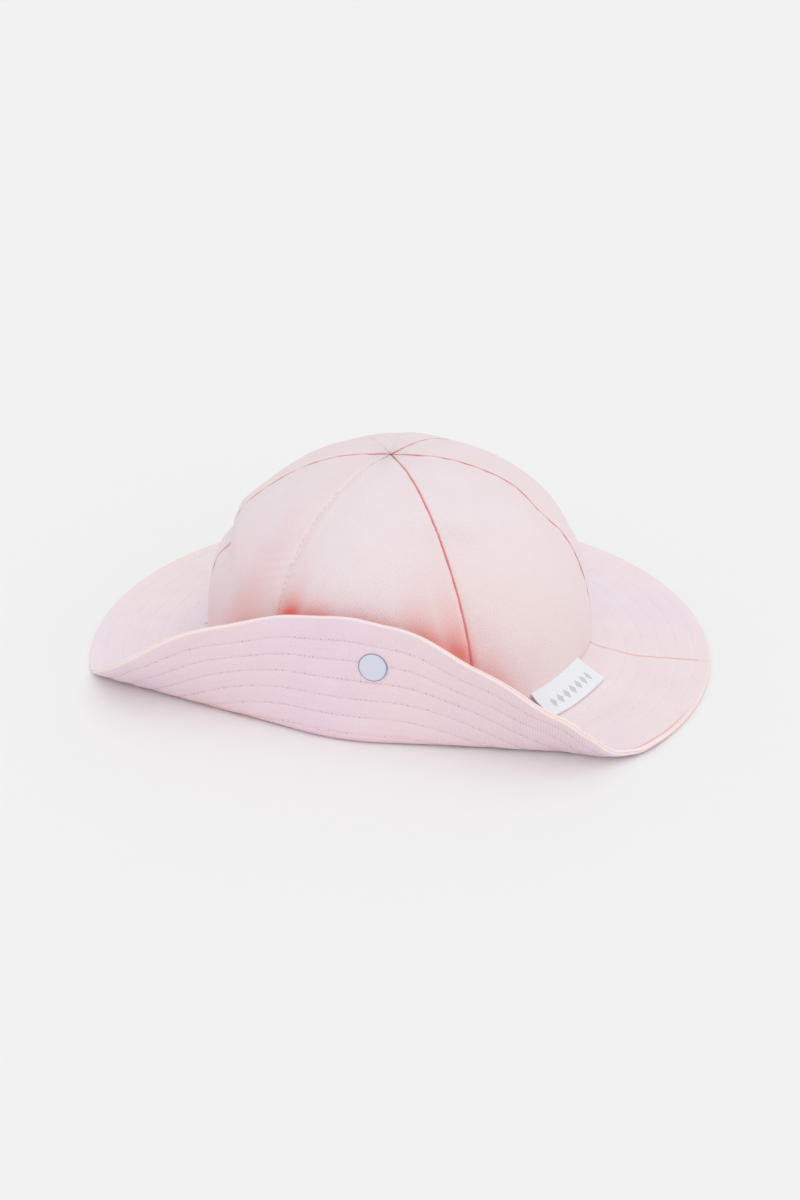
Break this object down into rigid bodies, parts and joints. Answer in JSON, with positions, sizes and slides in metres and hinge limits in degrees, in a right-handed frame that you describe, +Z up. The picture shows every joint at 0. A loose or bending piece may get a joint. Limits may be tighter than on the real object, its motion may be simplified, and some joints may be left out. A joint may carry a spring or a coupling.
{
  "type": "bucket hat",
  "caption": "Soft cotton bucket hat: panelled domed crown, stitched brim, front brim turned up and held by a press-stud.",
  "frame": {"origin": "bottom centre of the hat's box, on the surface that the brim rests on", "axes": "+Z up through the crown, front of the hat (press-stud) towards -Y, +X to the wearer's left"},
  "size_m": [0.2768, 0.2424, 0.0937],
  "materials": {
    "cotton_twill": "pale pink cotton twill, matt, soft diagonal weave",
    "brim_underside": "pale pink cotton twill, slightly cooler than the crown, matt",
    "lining_cotton": "thin plain-weave cotton, off-white pink",
    "sweatband_tape": "ribbed cotton tape, matt",
    "stiffener": "non-woven interlining, white",
    "label_weave": "white woven satin label, plain",
    "care_label_tape": "white satin tape, blank",
    "snap_cap_enamel": "pale blue-grey enamelled metal, satin",
    "snap_metal": "nickel-plated steel, satin"
  },
  "bodies": {
    "crown": {"crown_panel_front": "cotton_twill", "crown_panel_front_right": "cotton_twill", "crown_panel_back_right": "cotton_twill", "crown_panel_back": "cotton_twill", "crown_panel_back_left": "cotton_twill", "crown_panel_front_left": "cotton_twill", "lining_front": "lining_cotton", "lining_front_right": "lining_cotton", "lining_back_right": "lining_cotton", "lining_back": "lining_cotton", "lining_back_left": "lining_cotton", "lining_front_left": "lining_cotton", "sweatband": "sweatband_tape", "care_label": "care_label_tape", "woven_label": "label_weave", "brim_front_under": "brim_underside", "brim_front_interlining": "stiffener", "brim_front_upper": "cotton_twill", "brim_back_under": "brim_underside", "brim_back_interlining": "stiffener", "brim_back_upper": "cotton_twill", "snap_stud": "snap_metal", "snap_back_plate": "snap_metal"},
    "brim_flap": {"flap_under": "brim_underside", "flap_interlining": "stiffener", "flap_upper": "cotton_twill", "snap_cap": "snap_cap_enamel", "snap_socket": "snap_metal"}
  },
  "joints": [
    {"name": "flap_fold", "type": "hinge", "parent": "crown", "child": "brim_flap", "pos_m": [-0.01097, -0.10283, 0.0037], "axis": [0.9919, -0.1271, 0], "range_deg": [0, 95]}
  ]
}
